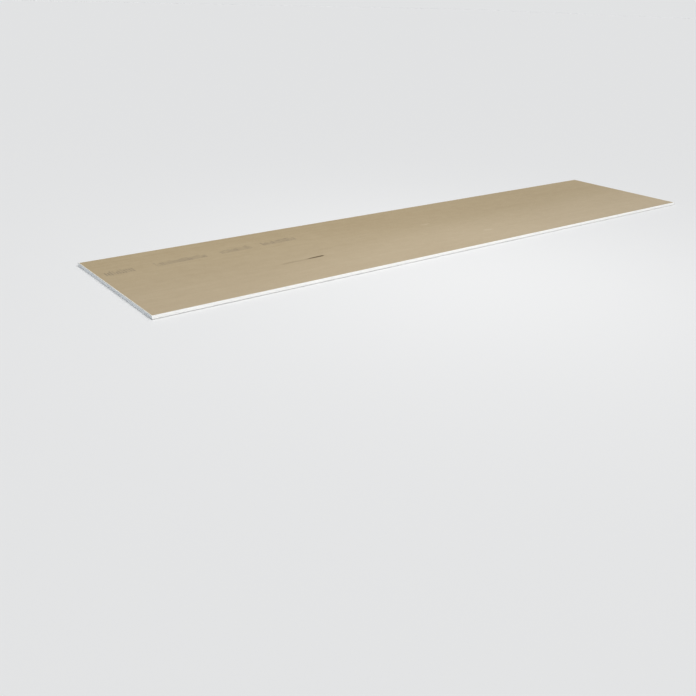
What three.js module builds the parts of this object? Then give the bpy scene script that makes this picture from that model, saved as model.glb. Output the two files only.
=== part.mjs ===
// A drywall sheet: one board of gypsum wrapped in paper, lying face down, in millimetres with +Z up.
// The origin is at the middle of the underside's outline, +X runs along the length and +Y across it.
// The long edges are tapered on the face side, for the jointing tape, and rounded where the paper
// folds round them. The ends are cut square. On the back the face paper's fold shows as a low border
// beside the edge of the back paper, which is laid over it.
import * as THREE from "three";

// Sizes of the board
const LENGTH = 2700;
const WIDTH = 600;
const THICKNESS = 12.5;

// The tapered long edges: how far in they start, and how much thinner the board is at its edge
const TAPER_WIDTH = 50;
const TAPER_DEPTH = 1.3;
const TAPER_EASE = 12; // the bend where the flat face turns into the taper

// The folds of the face paper round the long edges
const FACE_FOLD_RADIUS = 2.2;
const BACK_FOLD_RADIUS = 1.0;

// The border of face paper that the back paper leaves bare on the back
const BORDER_WIDTH = 5;
const PAPER_THICKNESS = 0.3;

const FOLD_STEPS = 5; // straight steps in each round fold

const halfWidth = WIDTH / 2;
const borderLevel = THICKNESS - PAPER_THICKNESS;
const taperSlope = Math.atan2(TAPER_DEPTH, TAPER_WIDTH);

// One long edge of the section, from the flat of the face up and over to the back paper, as points
// across the board (y, counted outwards from its middle) and up (z).
function edgeProfile() {
  const easeReach = TAPER_EASE * Math.cos(taperSlope);
  const easeRise = TAPER_EASE * Math.sin(taperSlope);
  const taperStart = halfWidth - TAPER_WIDTH;

  // The face fold is a circle that touches the taper and the upright edge.
  const foldSweep = Math.PI / 2 - taperSlope;
  const foldTangent = FACE_FOLD_RADIUS * Math.tan(foldSweep / 2);
  const foldCentreY = halfWidth - FACE_FOLD_RADIUS;
  const foldCentreZ = TAPER_DEPTH + foldTangent;

  const profile = new THREE.Path();
  profile.moveTo(taperStart - TAPER_EASE, 0);
  profile.quadraticCurveTo(taperStart, 0, taperStart + easeReach, easeRise);
  profile.absarc(foldCentreY, foldCentreZ, FACE_FOLD_RADIUS, taperSlope - Math.PI / 2, 0, false);
  profile.absarc(
    halfWidth - BACK_FOLD_RADIUS,
    borderLevel - BACK_FOLD_RADIUS,
    BACK_FOLD_RADIUS,
    0,
    Math.PI / 2,
    false,
  );
  profile.lineTo(halfWidth - BORDER_WIDTH, borderLevel);
  profile.lineTo(halfWidth - BORDER_WIDTH, THICKNESS);
  return profile.getPoints(FOLD_STEPS);
}

// The whole section: the profile on one side, and its mirror image back down the other.
function boardSection() {
  const rightEdge = edgeProfile();
  const leftEdge = rightEdge.map((point) => new THREE.Vector2(-point.x, point.y)).reverse();
  return new THREE.Shape([...rightEdge, ...leftEdge]);
}

// The section is drawn across and up, and drawn out along the length.
function drawnAlongX(section, length) {
  const geometry = new THREE.ExtrudeGeometry(section, { depth: length, bevelEnabled: false });
  geometry.translate(0, 0, -length / 2);
  const across = new THREE.Vector3(0, 1, 0);
  const up = new THREE.Vector3(0, 0, 1);
  const along = new THREE.Vector3(1, 0, 0);
  return geometry.applyMatrix4(new THREE.Matrix4().makeBasis(across, up, along));
}

const backPaper = new THREE.MeshStandardMaterial({
  color: 0xaf9f7e,
  roughness: 0.85,
  metalness: 0,
});

const sheet = new THREE.Mesh(drawnAlongX(boardSection(), LENGTH), backPaper);
sheet.name = "drywall_sheet";

const board = new THREE.Group();
board.add(sheet);

export default board;
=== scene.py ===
"""A drywall sheet lying face down: plaster between a white face paper, folded round the long
edges, and an unbleached back paper. Metres, +X along the sheet, +Y across it, +Z up from the
floor it lies on, with the origin under its middle."""

from math import pi, radians, sin, sqrt

import bmesh
import bpy
from mathutils import Matrix, Vector, noise


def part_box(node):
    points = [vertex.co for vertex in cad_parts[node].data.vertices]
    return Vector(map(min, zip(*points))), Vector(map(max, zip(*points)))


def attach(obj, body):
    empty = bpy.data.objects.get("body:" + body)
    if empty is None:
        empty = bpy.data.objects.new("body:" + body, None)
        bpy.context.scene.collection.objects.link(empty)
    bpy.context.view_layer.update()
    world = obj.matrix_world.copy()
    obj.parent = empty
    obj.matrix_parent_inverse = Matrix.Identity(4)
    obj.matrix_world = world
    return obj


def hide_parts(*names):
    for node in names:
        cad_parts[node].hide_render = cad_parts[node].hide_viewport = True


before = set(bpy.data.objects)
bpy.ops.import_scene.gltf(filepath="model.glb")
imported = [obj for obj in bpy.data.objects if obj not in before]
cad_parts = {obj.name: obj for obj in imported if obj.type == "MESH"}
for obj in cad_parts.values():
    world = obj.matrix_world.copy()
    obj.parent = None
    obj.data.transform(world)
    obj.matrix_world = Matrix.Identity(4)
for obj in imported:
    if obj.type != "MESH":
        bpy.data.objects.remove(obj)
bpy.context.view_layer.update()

# ---------------------------------------------------------------- the sheet's sizes

BOARD = "drywall_sheet"
board_low, board_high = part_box(BOARD)
LENGTH = board_high.x - board_low.x
WIDTH = board_high.y - board_low.y
THICKNESS = board_high.z - board_low.z
HALF_LENGTH = LENGTH / 2
HALF_WIDTH = WIDTH / 2

TAPER_WIDTH = 0.050
TAPER_DEPTH = 0.0013
TAPER_EASE = 0.012  # the bend where the flat face turns into the taper
FACE_FOLD_RADIUS = 0.0022
BACK_FOLD_RADIUS = 0.0010
BORDER_WIDTH = 0.005  # face paper left bare beside the edge of the back paper
PAPER = 0.0003  # the thickness of either paper
FLAP_WIDTH = 0.020  # how far the folded face paper reaches in under the back paper

BORDER_LEVEL = THICKNESS - PAPER
TAPER_START = HALF_WIDTH - TAPER_WIDTH

# ---------------------------------------------------------------- its meshes

FOLD_STEPS = 6  # flats in each round fold
PAPER_COLUMN = 0.030  # the step along a paper's mesh
PAPER_ROW = 0.003  # and across it
CRISP_ANGLE = radians(35)  # a bend sharper than this shows as an edge
TOUCHING = 1e-5  # places closer than this are one
ALONG_AXIS = 0.999  # the least share of an edge's length that lies along its axis

RAGGED_END = 0.0004  # how far a cut end of paper wanders back from the full length
RAGGED_SCALE = 180  # its waves, in cycles a metre
RAGGED_UPWARDS = 3  # how much faster it wanders through the thickness
RAGGED_FINER = 2.7  # the waves on those waves
RAGGED_FINER_SHARE = 0.5

WANDER = 0.0005  # how far the back paper's long edges wander
WANDER_SCALE = 6  # in cycles a metre
WANDER_APART = 3  # gives the two edges waves of their own

CORE_COLUMN = 0.0008  # the mean step of the plaster's mesh across the sheet
CORE_CROWDING = 0.6  # how much closer the steps come at the folds
CORE_ROWS = 12  # and its steps through the thickness
CORE_RECESS = 0.0003  # how far the plaster breaks back from the paper at a cut end, at the least
CORE_ROUGHNESS = 0.0006  # and how much farther at the most
CRUMB_SCALE = 420  # single crumbs, in cycles a metre
PATCH_SCALE = 45  # patches that broke back together

# ---------------------------------------------------------------- the marks on it

RIM_EDGE = 0.0005  # how sharply a cut end's torn rim gives way to whole paper

# From where to where each run of printed ticks goes along the sheet
PRINTED_RUNS = ((-1.322, -1.218), (-1.140, -0.940), (-0.882, -0.752), (-0.698, -0.552))
PRINT_Y = 0.146  # the printed row's middle, halfway along it
PRINT_DRIFT = 0.04  # how far the row drifts across, for each metre along
PRINT_DOT = 0.0032  # from one ink dot to the next
PRINT_TALLEST = 14  # dots in the tallest tick
PRINT_SHORTEST = 0.60  # the shortest tick's share of that
TICK_COLUMNS = 3  # columns of dots from one tick to the next
INKED_COLUMNS = 2  # and how many of them are inked

SCUFF_START, SCUFF_END = -0.669, -0.581  # where the scuff lies along the sheet
SCUFF_Y = -0.089  # its middle
SCUFF_SLANT = 0.05  # how far it drifts across, for each metre along
SCUFF_HALF = 0.0064  # half its width
SCUFF_THINNEST = 1e-5  # its ends thin out to this, and never to a width of nothing
SCUFF_WIDENING = 0.04  # how far along it reaches its full width
SCUFF_STOPPING = 0.004  # and how far from its end it loses it
SCUFF_FRAY = 0.020  # how raggedly it starts and ends

TAIL_START = -0.775  # where the scuff's scratched tail starts
TAIL_HALF = 0.012  # half its width
TAIL_FADE_IN = 0.02  # how far along it has faded in
TAIL_STRONGEST = 0.03  # how far along it is still at its strongest
TAIL_STOP = 0.03  # how far short of the scuff's end it stops

FOLD_RUBBED = 0.006  # how far in from the edge the folds of the white paper are rubbed
FOLD_RUBBED_MOST = 0.001  # and where they are rubbed the most

# Each pale scrape's place along and across, and how far it reaches along and across
PALE_SCRAPES = ((0.035, 0.040, 0.030, 0.010), (0.205, -0.160, 0.036, 0.012))


# ---------------------------------------------------------------- making pieces


def put_in_order(elements, place):
    """Orders a mesh's corners or faces by place, which some operators leave to chance."""
    for index, element in enumerate(sorted(elements, key=place)):
        element.index = index
    elements.sort()


def finish_piece(name, mesh, material):
    """Makes a modelled bmesh an object, smooth but for its crisp edges, that rides on the sheet."""
    bmesh.ops.recalc_face_normals(mesh, faces=mesh.faces)
    put_in_order(mesh.verts, lambda vert: vert.co[:])
    put_in_order(mesh.faces, lambda face: sorted(vert.index for vert in face.verts))
    data = bpy.data.meshes.new(name)
    mesh.to_mesh(data)
    mesh.free()
    data.shade_smooth()
    data.set_sharp_from_angle(angle=CRISP_ANGLE)
    data.materials.append(material)
    piece = bpy.data.objects.new(name, data)
    bpy.context.scene.collection.objects.link(piece)
    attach(piece, "root")
    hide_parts(BOARD)


def edges_along(mesh, axis):
    """The edges that run along one axis."""
    found = []
    for edge in mesh.edges:
        run = edge.verts[1].co - edge.verts[0].co
        if abs(run[axis]) > ALONG_AXIS * run.length:
            found.append(edge)
    return found


def cut_across(mesh, axis, low, high, step):
    """Cuts a mesh by evenly spaced planes across one axis, between two places."""
    normal = Vector((0, 0, 0))
    normal[axis] = 1
    count = max(1, round((high - low) / step))
    for index in range(1, count):
        place = normal * (low + (high - low) * index / count)
        everything = [*mesh.verts, *mesh.edges, *mesh.faces]
        bmesh.ops.bisect_plane(mesh, geom=everything, plane_co=place, plane_no=normal)


def long_strip(corners):
    """A strip from end to end of the sheet, whose section is a row of corners (y, z)."""
    mesh = bmesh.new()
    edges = []
    for end in (-HALF_LENGTH, HALF_LENGTH):
        verts = [mesh.verts.new((end, y, z)) for y, z in corners]
        edges += [mesh.edges.new(pair) for pair in zip(verts, verts[1:])]
    bmesh.ops.bridge_loops(mesh, edges=edges)
    return mesh


def long_edges_at(mesh, y, z):
    """The edges of a strip that run along X through one corner of its section, on both sides."""
    found = []
    for edge in edges_along(mesh, 0):
        place = edge.verts[0].co
        if abs(abs(place.y) - y) < TOUCHING and abs(place.z - z) < TOUCHING:
            found.append(edge)
    return found


def rounded(mesh, y, z, offset):
    """Rounds a strip along one corner of its section, on both sides."""
    bmesh.ops.bevel(
        mesh,
        geom=long_edges_at(mesh, y, z),
        offset=offset,
        offset_type="OFFSET",
        segments=FOLD_STEPS,
        profile=0.5,
        affect="EDGES",
        material=-1,
    )


def ragged_ends(mesh, seed):
    """Draws the cut ends of a paper back by a fraction of a millimetre, as a blade leaves them."""
    for vert in mesh.verts:
        if abs(vert.co.x) > HALF_LENGTH - TOUCHING:
            side = 1 if vert.co.x > 0 else -1
            place = Vector((vert.co.y, vert.co.z * RAGGED_UPWARDS, seed + side)) * RAGGED_SCALE
            waves = abs(noise.noise(place))
            finer_waves = abs(noise.noise(place * RAGGED_FINER))
            drawn_back = waves + RAGGED_FINER_SHARE * finer_waves
            vert.co.x -= side * RAGGED_END * min(drawn_back, 1.0)


def laid_shell(mesh):
    """Gives a strip of paper its thickness, inwards from the outside that was modelled."""
    bmesh.ops.recalc_face_normals(mesh, faces=mesh.faces)
    bmesh.ops.solidify(mesh, geom=list(mesh.faces), thickness=PAPER)


# ---------------------------------------------------------------- the three layers


def face_paper(material):
    """The white paper: under the board, up round both long edges and in over the back."""
    flap_end = HALF_WIDTH - FLAP_WIDTH
    half = [
        (TAPER_START, 0),
        (HALF_WIDTH, TAPER_DEPTH),
        (HALF_WIDTH, BORDER_LEVEL),
        (flap_end, BORDER_LEVEL),
    ]
    other_half = [(-y, z) for y, z in reversed(half)]
    mesh = long_strip(other_half + half)
    rounded(mesh, TAPER_START, 0, TAPER_EASE)
    # This fold turns by less than a right angle, so it starts nearer to its corner.
    slope = TAPER_DEPTH / TAPER_WIDTH
    rounded(mesh, HALF_WIDTH, TAPER_DEPTH, FACE_FOLD_RADIUS * (1 - slope))
    rounded(mesh, HALF_WIDTH, BORDER_LEVEL, BACK_FOLD_RADIUS)
    cut_across(mesh, 0, -HALF_LENGTH, HALF_LENGTH, PAPER_COLUMN)
    cut_across(mesh, 1, -HALF_WIDTH, HALF_WIDTH, PAPER_ROW)
    ragged_ends(mesh, seed=1)
    laid_shell(mesh)
    finish_piece("face_paper", mesh, material)


def back_paper(material):
    """The unbleached paper, laid over the flaps of the face paper and the plaster between them."""
    paper_half = HALF_WIDTH - BORDER_WIDTH
    mesh = long_strip([(-paper_half, THICKNESS), (paper_half, THICKNESS)])
    cut_across(mesh, 0, -HALF_LENGTH, HALF_LENGTH, PAPER_COLUMN)
    cut_across(mesh, 1, -paper_half, paper_half, PAPER_ROW)
    for vert in mesh.verts:
        if abs(vert.co.y) > paper_half - TOUCHING:
            side = 1 if vert.co.y > 0 else -1
            place = Vector((vert.co.x * WANDER_SCALE, side * WANDER_APART, 0))
            vert.co.y += WANDER * noise.noise(place)
    ragged_ends(mesh, seed=5)
    laid_shell(mesh)
    finish_piece("back_paper", mesh, material)


def core_floor(y):
    """The underside of the plaster: the taper, and the fold's inner round at the edge."""
    inner_half = HALF_WIDTH - PAPER
    rise = max(0.0, abs(y) - TAPER_START) * TAPER_DEPTH / TAPER_WIDTH
    radius = FACE_FOLD_RADIUS - PAPER
    into_fold = max(0.0, abs(y) - (inner_half - radius))
    return PAPER + rise + radius - sqrt(max(0.0, radius**2 - into_fold**2))


def core_top(y):
    """The top of the plaster: lower where the flap of face paper lies over it."""
    inner_half = HALF_WIDTH - PAPER
    top = BORDER_LEVEL if abs(y) < HALF_WIDTH - FLAP_WIDTH else BORDER_LEVEL - PAPER
    radius = BACK_FOLD_RADIUS - PAPER
    into_fold = max(0.0, abs(y) - (inner_half - radius))
    return top - radius + sqrt(max(0.0, radius**2 - into_fold**2))


def crumbled(place):
    """How far back the plaster has broken at one place of a cut end."""
    crumbs = 0.5 + 0.5 * noise.noise(place * CRUMB_SCALE)
    patches = 0.5 + 0.5 * noise.noise(place * PATCH_SCALE)
    return CORE_RECESS + CORE_ROUGHNESS * crumbs * patches


def gypsum_core(material):
    """The plaster: a grid over the section, closer at the folds, drawn from end to end."""
    mesh = bmesh.new()
    columns = round(WIDTH / CORE_COLUMN)
    bmesh.ops.create_grid(mesh, x_segments=columns, y_segments=CORE_ROWS, size=0.5)
    for vert in mesh.verts:
        # The grid runs from -0.5 to 0.5 both ways.
        across = 2 * vert.co.x
        crowded = across + CORE_CROWDING * sin(pi * across) / pi
        y = crowded * (HALF_WIDTH - PAPER)
        share_up = vert.co.y + 0.5
        z = core_floor(y) + (core_top(y) - core_floor(y)) * share_up
        vert.co = (-HALF_LENGTH, y, z)
    section = list(mesh.faces)
    drawn = bmesh.ops.extrude_face_region(mesh, geom=section, use_keep_orig=True)["geom"]
    moved = [item for item in drawn if isinstance(item, bmesh.types.BMVert)]
    bmesh.ops.translate(mesh, verts=moved, vec=(LENGTH, 0, 0))
    for vert in mesh.verts:
        side = 1 if vert.co.x > 0 else -1
        vert.co.x -= side * crumbled(Vector((side, vert.co.y, vert.co.z)))
    finish_piece("gypsum_core", mesh, material)


# ---------------------------------------------------------------- finishes


class Signal:
    """A node's output, which Python's own operators turn into Math nodes."""

    def __init__(self, nodes, socket):
        self.nodes = nodes
        self.socket = socket

    def _math(self, operation, *values):
        return self.nodes.node("ShaderNodeMath", dict(enumerate(values)), operation=operation)

    def __add__(self, other):
        return self._math("ADD", self, other)

    __radd__ = __add__

    def __sub__(self, other):
        return self._math("SUBTRACT", self, other)

    def __rsub__(self, other):
        return self._math("SUBTRACT", other, self)

    def __mul__(self, other):
        return self._math("MULTIPLY", self, other)

    __rmul__ = __mul__

    def __truediv__(self, other):
        return self._math("DIVIDE", self, other)

    def __rtruediv__(self, other):
        return self._math("DIVIDE", other, self)

    def __abs__(self):
        return self._math("ABSOLUTE", self)

    def __floordiv__(self, other):
        return self._math("FLOOR", self / other)

    def __gt__(self, other):
        return self._math("GREATER_THAN", self, other)

    def __lt__(self, other):
        return self._math("LESS_THAN", self, other)


class Nodes:
    """A node tree, to which a node is added with its settings and the values of its sockets."""

    def __init__(self, tree):
        self.tree = tree

    def node(self, kind, inputs=None, output=0, stops=None, **settings):
        """Adds a node: its settings, a ramp's stops, then the values or links of its sockets."""
        made = self.tree.nodes.new(kind)
        for name, value in settings.items():
            setattr(made, name, value)
        if stops:
            elements = made.color_ramp.elements
            elements.remove(elements[1])
            elements[0].position, elements[0].color = stops[0]
            for position, colour in stops[1:]:
                elements.new(position).color = colour
        for socket, value in (inputs or {}).items():
            self.feed(made.inputs[socket], value)
        return Signal(self, made.outputs[output])

    def feed(self, socket, value):
        """Links a signal to a socket, or sets a plain value on it."""
        if isinstance(value, Signal):
            self.tree.links.new(value.socket, socket)
        else:
            socket.default_value = value

    def mixed(self, share, first, second):
        """One colour turning into another, by the Mix node's colour sockets."""
        return self.node(
            "ShaderNodeMix", {0: share, 6: first, 7: second}, output=2, data_type="RGBA"
        )

    def between(self, value, low, high):
        """0 at low, 1 at high and smooth between them; low may be the larger."""
        return self.node(
            "ShaderNodeMapRange",
            {"Value": value, "From Min": low, "From Max": high},
            interpolation_type="SMOOTHSTEP",
        )


class Finish(Nodes):
    """One material, its pattern written as expressions on Object coordinates."""

    def __init__(self, name, specular):
        self.material = bpy.data.materials.new(name)
        self.material.use_nodes = True
        super().__init__(self.material.node_tree)
        self.shader = self.tree.nodes["Principled BSDF"]
        self.feed(self.shader.inputs["Specular IOR Level"], specular)
        self.place = self.node("ShaderNodeTexCoord", output="Object")
        self.x, self.y = [
            self.node("ShaderNodeSeparateXYZ", {0: self.place}, output=axis) for axis in "XY"
        ]

    def stretched(self, along, across, up):
        """The place with each axis in cycles a metre, for a pattern that is longer one way."""
        return self.node(
            "ShaderNodeVectorMath", {0: self.place, 1: (along, across, up)}, operation="MULTIPLY"
        )

    def cloud(self, place, detail=2.0, coarse=0.5):
        """Soft noise from 0 to 1, at one cycle for each unit of place."""
        return self.node(
            "ShaderNodeTexNoise",
            {"Vector": place, "Scale": 1.0, "Detail": detail, "Roughness": coarse},
        )

    def spots(self, place, size, share):
        """Soft spots of many sizes in some of the cells of place, 1 inside and 0 outside."""
        cells = {"Vector": place, "Scale": 1.0}
        distance = self.node("ShaderNodeTexVoronoi", cells)
        drawn = self.node("ShaderNodeTexVoronoi", cells, output="Color")
        lot, growth = [
            self.node("ShaderNodeSeparateColor", {0: drawn}, output=part)
            for part in ("Red", "Green")
        ]
        # The smallest spot is about a third of the largest.
        reach = size * (0.35 + 0.65 * growth)
        return self.between(distance / reach, 1.0, 0.25) * (lot < share)

    def chance(self, cell):
        """A number from 0 to 1, drawn once for each whole number of a cell."""
        return self.node("ShaderNodeTexWhiteNoise", {"W": cell}, noise_dimensions="1D")

    def fraction(self, value):
        """What is left of a value over its whole number."""
        return self.node("ShaderNodeMath", {0: value}, operation="FRACT")

    def larger(self, first, second):
        """The larger of two values, for marks that lie over each other without adding up."""
        return self.node("ShaderNodeMath", {0: first, 1: second}, operation="MAXIMUM")

    def surface(self, colour, roughness):
        """Gives the shader its colour and roughness."""
        self.feed(self.shader.inputs["Base Color"], colour)
        self.feed(self.shader.inputs["Roughness"], roughness)

    def relief(self, height, depth):
        """Gives the shader a relief from a pattern of heights, as deep as depth in metres."""
        bump = self.node(
            "ShaderNodeBump", {"Height": height, "Distance": depth, "Strength": 1.0}
        )
        self.feed(self.shader.inputs["Normal"], bump)


def on_screen(red, green, blue):
    """A colour given as it shows on a screen, from 0 to 255, with the sRGB curve undone."""
    linear = []
    for value in (red, green, blue):
        share = value / 255
        linear.append(share / 12.92 if share <= 0.04045 else ((share + 0.055) / 1.055) ** 2.4)
    return (*linear, 1)


KRAFT_DARK = on_screen(157, 137, 103)
KRAFT = on_screen(170, 151, 117)
KRAFT_LIGHT = on_screen(183, 165, 132)
# The pale cream that the painted sheen turns the back paper towards
KRAFT_SHEEN = on_screen(238, 226, 209)
KRAFT_RUBBED = on_screen(205, 190, 160)
KRAFT_SCRAPED = on_screen(212, 198, 172)
KRAFT_TORN = on_screen(226, 225, 219)
BARK_FLECK = on_screen(98, 82, 62)
PALE_FLECK = on_screen(216, 206, 184)
NICK = on_screen(104, 90, 72)
PRINTING_INK = on_screen(88, 80, 70)
SCUFF = on_screen(82, 63, 26)

WHITE_DULL = on_screen(235, 235, 233)
WHITE_CLEAN = on_screen(247, 247, 245)
WHITE_RUBBED = on_screen(196, 197, 195)
WHITE_DUSTY = on_screen(228, 229, 226)
GREY_FLECK = on_screen(164, 162, 156)

PLASTER_DARK = on_screen(220, 224, 226)
PLASTER = on_screen(236, 240, 242)
PLASTER_LIGHT = on_screen(246, 249, 250)
# Painted shade for the hollows of the plaster's foam and bubbles
FOAM_PIT_SHADE = on_screen(170, 172, 174)
BUBBLE_SHADE = on_screen(140, 142, 145)


def cut_end_dust(paper, rim, reach):
    """Where a cut end is pale: its torn rim, then plaster dust that thins in specks inwards."""
    to_cut = HALF_LENGTH - abs(paper.x)
    specks = paper.cloud(paper.stretched(500, 700, 700), detail=4, coarse=0.75)
    # The rim follows the specks, half as deep in some places and half as deep again in others.
    torn = rim * (2.2 * specks - 0.1)
    bare = paper.between(to_cut, torn + RIM_EDGE, torn)
    dust = paper.between(specks, 0.50 + 0.25 * (to_cut / reach), 0.72)
    return paper.larger(bare, dust * paper.between(to_cut, reach, 0.0))


def fibre_layer(paper, along, across, turn):
    """Fine fibres, turned by a small angle from the sheet's length."""
    laid = paper.node(
        "ShaderNodeVectorRotate", {"Vector": paper.place, "Angle": turn}, rotation_type="Z_AXIS"
    )
    thin = paper.node(
        "ShaderNodeVectorMath", {0: laid, 1: (along, across, across)}, operation="MULTIPLY"
    )
    return paper.cloud(thin, detail=1)


def back_paper_finish():
    """Unbleached paper: cloudy, with fibres and flecks that lie mostly along the sheet."""
    paper = Finish("unbleached_paper", specular=0.3)

    # The pulp as it dried, with fibres laid at a small angle either way
    clouds = paper.cloud(paper.stretched(0.8, 2.4, 1), detail=2)
    mottle = paper.cloud(paper.stretched(18, 34, 1), detail=3, coarse=0.6)
    streaks = paper.cloud(paper.stretched(0.5, 80, 1), detail=3)
    pulp = paper.cloud(paper.stretched(300, 420, 1), detail=3, coarse=0.7)
    fibres_left = fibre_layer(paper, 160, 1500, radians(14))
    fibres_right = fibre_layer(paper, 200, 1800, radians(-22))
    fibres = 0.5 * (fibres_left + fibres_right)
    shade = 0.24 * clouds + 0.16 * mottle + 0.12 * streaks + 0.45 * pulp + 0.50 * fibres - 0.23
    kraft = paper.node(
        "ShaderNodeValToRGB",
        {0: shade},
        stops=[(0.32, KRAFT_DARK), (0.50, KRAFT), (0.68, KRAFT_LIGHT)],
    )

    # Painted sheen: the paper is made paler towards its front edge, in cloudy patches, as a broad
    # sheen of light would show it
    painted_sheen = paper.between(paper.y, HALF_WIDTH, -HALF_WIDTH) * (0.6 + 0.8 * clouds)
    kraft = paper.mixed(painted_sheen * 0.14, kraft, KRAFT_SHEEN)

    # Flecks in the pulp
    bark_flecks = paper.spots(paper.stretched(70, 130, 1), size=0.10, share=0.3)
    pale_flecks = paper.spots(paper.stretched(52, 140, 1), size=0.09, share=0.3)
    flecked = paper.mixed(bark_flecks * 0.45, kraft, BARK_FLECK)
    flecked = paper.mixed(pale_flecks * 0.40, flecked, PALE_FLECK)

    # What has happened to it since
    rubs = paper.between(paper.cloud(paper.stretched(5, 70, 1), detail=4), 0.64, 0.82)
    nicks = paper.spots(paper.stretched(2.2, 4.6, 1), size=0.016, share=0.7)
    scuff = scuff_mark(paper)
    dust = cut_end_dust(paper, rim=0.0026, reach=0.012)
    worn = paper.mixed(rubs * 0.25, flecked, KRAFT_RUBBED)
    worn = paper.mixed(pale_scrapes(paper) * 0.5, worn, KRAFT_SCRAPED)
    worn = paper.mixed(nicks * 0.6, worn, NICK)
    inked = paper.mixed(printed_ticks(paper) * 0.9, worn, PRINTING_INK)
    scuffed = paper.mixed(scuff, inked, SCUFF)
    dusted = paper.mixed(dust * 0.85, scuffed, KRAFT_TORN)

    paper.surface(colour=dusted, roughness=0.50 + 0.2 * pulp)
    raised = 0.4 * mottle + 0.3 * pulp + 0.3 * fibres - 0.8 * scuff - 0.6 * nicks
    paper.relief(raised, depth=0.00012)
    return paper.material


def printed_ticks(paper):
    """Worn runs of plain dotted ticks along the sheet, where makers print: no lettering."""
    row_start, row_end = PRINTED_RUNS[0][0], PRINTED_RUNS[-1][1]
    drift = (paper.x - (row_start + row_end) / 2) * PRINT_DRIFT
    baseline = PRINT_Y - PRINT_TALLEST * PRINT_DOT / 2
    along = (paper.x - row_start) / PRINT_DOT
    up = (paper.y - baseline - drift) / PRINT_DOT
    # A round dot in the middle of each square, soft at its rim
    off_x, off_y = paper.fraction(along) - 0.5, paper.fraction(up) - 0.5
    dot = paper.between(off_x * off_x + off_y * off_y, 0.23, 0.13)

    tick = along // TICK_COLUMNS
    inked = paper.fraction(along / TICK_COLUMNS) < INKED_COLUMNS / TICK_COLUMNS
    height = PRINT_TALLEST * (PRINT_SHORTEST + (1 - PRINT_SHORTEST) * paper.chance(tick))
    bar = inked * (up > 0) * (up // 1 + 1 < height)

    tick_x = row_start + tick * (TICK_COLUMNS * PRINT_DOT)
    runs = 0
    for start, end in PRINTED_RUNS:
        runs = (tick_x > start - PRINT_DOT) * (tick_x < end) + runs

    ink = 0.45 + 0.55 * paper.chance(tick + 0.5)
    kept = paper.between(paper.cloud(paper.stretched(40, 90, 1), detail=4, coarse=0.6), 0.32, 0.58)
    return runs * bar * dot * ink * (0.3 + 0.7 * kept)


def scuff_mark(paper):
    """A dark scuff with a faint scratched tail, where a corner was dragged along the sheet."""
    drift = (paper.x - (SCUFF_START + SCUFF_END) / 2) * SCUFF_SLANT
    off_line = abs(paper.y - SCUFF_Y - drift)
    frayed = paper.cloud(paper.stretched(90, 600, 1), detail=3, coarse=0.6)
    scratches = paper.cloud(paper.stretched(9, 420, 1), detail=3, coarse=0.6)

    # The scuff widens slowly and stops short, with ragged sides and grooves along it.
    torn_x = paper.x + SCUFF_FRAY * (frayed - 0.5)
    widening = paper.between(torn_x, SCUFF_START, SCUFF_START + SCUFF_WIDENING)
    stopping = paper.between(torn_x, SCUFF_END, SCUFF_END - SCUFF_STOPPING)
    half = widening * stopping * SCUFF_HALF + SCUFF_THINNEST
    line = paper.between(off_line / ((0.4 + 1.2 * frayed) * half), 1.0, 0.6)
    grooves = 0.6 + 0.4 * paper.between(scratches, 0.36, 0.54)

    # The tail is strongest at its far end, and fades out under the scuff.
    fading_in = paper.between(paper.x, TAIL_START, TAIL_START + TAIL_FADE_IN)
    fading_out = paper.between(paper.x, SCUFF_END - TAIL_STOP, SCUFF_START)
    strength = 0.30 + 0.20 * paper.between(paper.x, SCUFF_START, TAIL_START + TAIL_STRONGEST)
    smear = paper.between(off_line, TAIL_HALF, 0.0) * paper.between(scratches, 0.38, 0.64)
    return paper.larger(line * grooves, smear * (fading_in * fading_out) * strength)


def pale_scrapes(paper):
    """A few places where the paper's surface is rubbed pale."""
    scratches = paper.cloud(paper.stretched(60, 520, 1), detail=3, coarse=0.6)
    rubbed = 0
    for x, y, along, across in PALE_SCRAPES:
        off_x, off_y = (paper.x - x) / along, (paper.y - y) / across
        rubbed = paper.between(off_x * off_x + off_y * off_y, 1.0, 0.0) + rubbed
    return rubbed * paper.between(scratches, 0.40, 0.62)


def face_paper_finish():
    """White facing paper: smooth, with faint fibres and flecks, a little rubbed at the folds."""
    paper = Finish("white_paper", specular=0.3)
    pulp = paper.cloud(paper.stretched(300, 420, 420), detail=2, coarse=0.7)
    fibres = paper.cloud(paper.stretched(160, 1500, 1500), detail=1)
    mottle = paper.cloud(paper.stretched(14, 30, 60), detail=3)
    shade = 0.22 * mottle + 0.38 * pulp + 0.40 * fibres
    white = paper.mixed(paper.between(shade, 0.35, 0.65), WHITE_DULL, WHITE_CLEAN)
    flecks = paper.spots(paper.stretched(150, 420, 420), size=0.10, share=0.3)
    flecked = paper.mixed(flecks * 0.35, white, GREY_FLECK)

    at_fold = paper.between(abs(paper.y), HALF_WIDTH - FOLD_RUBBED, HALF_WIDTH - FOLD_RUBBED_MOST)
    rubs = paper.cloud(paper.stretched(24, 200, 320), detail=4, coarse=0.6)
    rubbed = paper.between(rubs, 0.58, 0.74) * (0.20 + 0.25 * at_fold)
    dust = cut_end_dust(paper, rim=0.0004, reach=0.008)
    handled = paper.mixed(rubbed, flecked, WHITE_RUBBED)
    dusted = paper.mixed(dust * 0.4, handled, WHITE_DUSTY)

    paper.surface(colour=dusted, roughness=0.5 + 0.15 * pulp)
    paper.relief(shade, depth=0.00006)
    return paper.material


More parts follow.
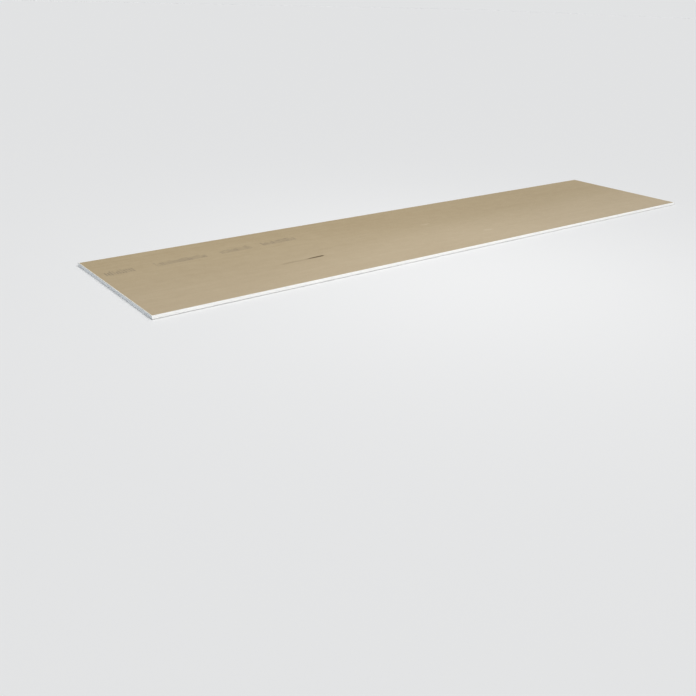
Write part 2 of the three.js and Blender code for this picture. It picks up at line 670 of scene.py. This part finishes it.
def gypsum_finish():
    """Cut plaster: chalky, cool grey-white, scored along the cut and full of small bubbles, whose
    hollows are darkened with painted shade.
    """
    plaster = Finish("cut_gypsum", specular=0.2)
    scores = plaster.cloud(plaster.stretched(40, 8, 1100), detail=3, coarse=0.6)
    patches = plaster.cloud(plaster.stretched(20, 16, 90), detail=3)
    grain = plaster.cloud(plaster.stretched(1500, 1500, 1500), detail=3, coarse=0.7)
    shade = 0.36 * scores + 0.28 * patches + 0.36 * grain
    body = plaster.node(
        "ShaderNodeValToRGB",
        {0: shade},
        stops=[(0.32, PLASTER_DARK), (0.50, PLASTER), (0.68, PLASTER_LIGHT)],
    )
    foam = plaster.spots(plaster.stretched(900, 1000, 1000), size=0.50, share=0.5)
    bubbles = plaster.spots(plaster.stretched(260, 300, 300), size=0.30, share=0.3)
    # Painted shade: the foam's pits and the bubbles are darkened where shade falls in their hollows
    pit_shaded = plaster.mixed(foam * 0.35, body, FOAM_PIT_SHADE)
    pit_shaded = plaster.mixed(bubbles * 0.50, pit_shaded, BUBBLE_SHADE)

    plaster.surface(colour=pit_shaded, roughness=0.92)
    raised = 0.4 * scores + 0.6 * grain - 0.4 * foam - 0.8 * bubbles
    plaster.relief(raised, depth=0.0003)
    return plaster.material


# ---------------------------------------------------------------- the studio

FLOOR_SIDE = 120.0
FLOOR_DROP = 0.0002  # keeps the floor's surface and the face paper's apart
FLOOR_COLOUR = on_screen(235, 235, 235)
SURROUND = (0.425, 0.44, 0.46, 1)  # the light from all round
BACKDROP = (0.755, 0.763, 0.769, 1)  # the surround as it is seen, where the floor runs out

SUN_SOFTNESS = radians(35)

CAMERA_PLACE = (-2.216, -2.345, 0.880)
CAMERA_HEADING = radians(37.93)  # from +Y towards +X
CAMERA_DIP = radians(23.90)
CAMERA_ROLL = radians(1.68)
SENSOR_WIDTH = 36.0  # millimetres
LENS = 41.04


def studio_floor():
    """A plain pale floor, which is clear to every ray that first met it from below."""
    mesh = bmesh.new()
    bmesh.ops.create_grid(mesh, x_segments=1, y_segments=1, size=FLOOR_SIDE / 2)
    bmesh.ops.translate(mesh, verts=mesh.verts, vec=(0, 0, -FLOOR_DROP))
    data = bpy.data.meshes.new("studio_floor")
    mesh.to_mesh(data)
    mesh.free()
    paint = Finish("floor_paint", specular=0.0)
    paint.surface(colour=FLOOR_COLOUR, roughness=0.9)
    painted = Signal(paint, paint.shader.outputs["BSDF"])
    below = paint.node("ShaderNodeNewGeometry", output="Backfacing")
    passed = paint.node("ShaderNodeLightPath", output="Transparent Depth")
    clear = paint.node("ShaderNodeBsdfTransparent")
    either = paint.node("ShaderNodeMixShader", {0: below + passed, 1: painted, 2: clear})
    paint.feed(paint.tree.nodes["Material Output"].inputs["Surface"], either)
    data.materials.append(paint.material)
    floor = bpy.data.objects.new("studio_floor", data)
    bpy.context.scene.collection.objects.link(floor)


def aimed(place, target):
    """The matrix that puts a lamp at a place, turned to a target."""
    back = Vector(place) - Vector(target)
    return Matrix.Translation(place) @ back.to_track_quat("Z", "Y").to_matrix().to_4x4()


def lamp(name, kind, place, target, colour, energy, **settings):
    """A lamp at a place, turned to a target."""
    data = bpy.data.lights.new(name, kind)
    data.color = colour
    data.energy = energy
    for setting, value in settings.items():
        setattr(data, setting, value)
    made = bpy.data.objects.new(name, data)
    made.matrix_world = aimed(place, target)
    bpy.context.scene.collection.objects.link(made)


def studio_light():
    """An even surround, a soft sun high in front, another below the floor for the underside, and
    a soft box over the front edge."""
    world = bpy.data.worlds.new("surround")
    bpy.context.scene.world = world
    world.use_nodes = True
    sky = Nodes(world.node_tree)
    camera, glossy, through = [
        sky.node("ShaderNodeLightPath", output=f"Is {ray} Ray")
        for ray in ("Camera", "Glossy", "Transmission")
    ]
    seen = camera + glossy + through
    background = sky.tree.nodes["Background"]
    sky.feed(background.inputs["Color"], sky.mixed(seen, SURROUND, BACKDROP))
    lamp(
        "soft_sun",
        "SUN",
        place=(0.15, -0.58, 0.80),
        target=(0, 0, 0),
        colour=(1.0, 0.985, 0.96),
        energy=1.90,
        angle=SUN_SOFTNESS,
    )
    lamp(
        "light_below",
        "SUN",
        place=(0.30, -0.60, -0.80),
        target=(0, 0, 0),
        colour=(1.0, 0.99, 0.98),
        energy=1.4,
        angle=SUN_SOFTNESS,
    )
    lamp(
        "soft_box",
        "AREA",
        place=(-0.25, -0.50, 1.20),
        target=(-0.25, -0.50, 0.0),
        colour=(1.0, 0.99, 0.97),
        energy=2.4,
        shape="SQUARE",
        size=1.0,
    )


def photographer():
    """The camera, beyond the near left corner, looking over the sheet to its far end."""
    lens = bpy.data.cameras.new("camera")
    lens.sensor_width = SENSOR_WIDTH
    lens.lens = LENS
    camera = bpy.data.objects.new("camera", lens)
    camera.matrix_world = (
        Matrix.Translation(CAMERA_PLACE)
        @ Matrix.Rotation(-CAMERA_HEADING, 4, "Z")
        @ Matrix.Rotation(pi / 2 - CAMERA_DIP, 4, "X")
        @ Matrix.Rotation(CAMERA_ROLL, 4, "Z")
    )
    bpy.context.scene.collection.objects.link(camera)
    bpy.context.scene.camera = camera


# ---------------------------------------------------------------- the scene

bpy.context.scene.view_settings.view_transform = "Standard"
back_paper(back_paper_finish())
face_paper(face_paper_finish())
gypsum_core(gypsum_finish())
studio_floor()
studio_light()
photographer()
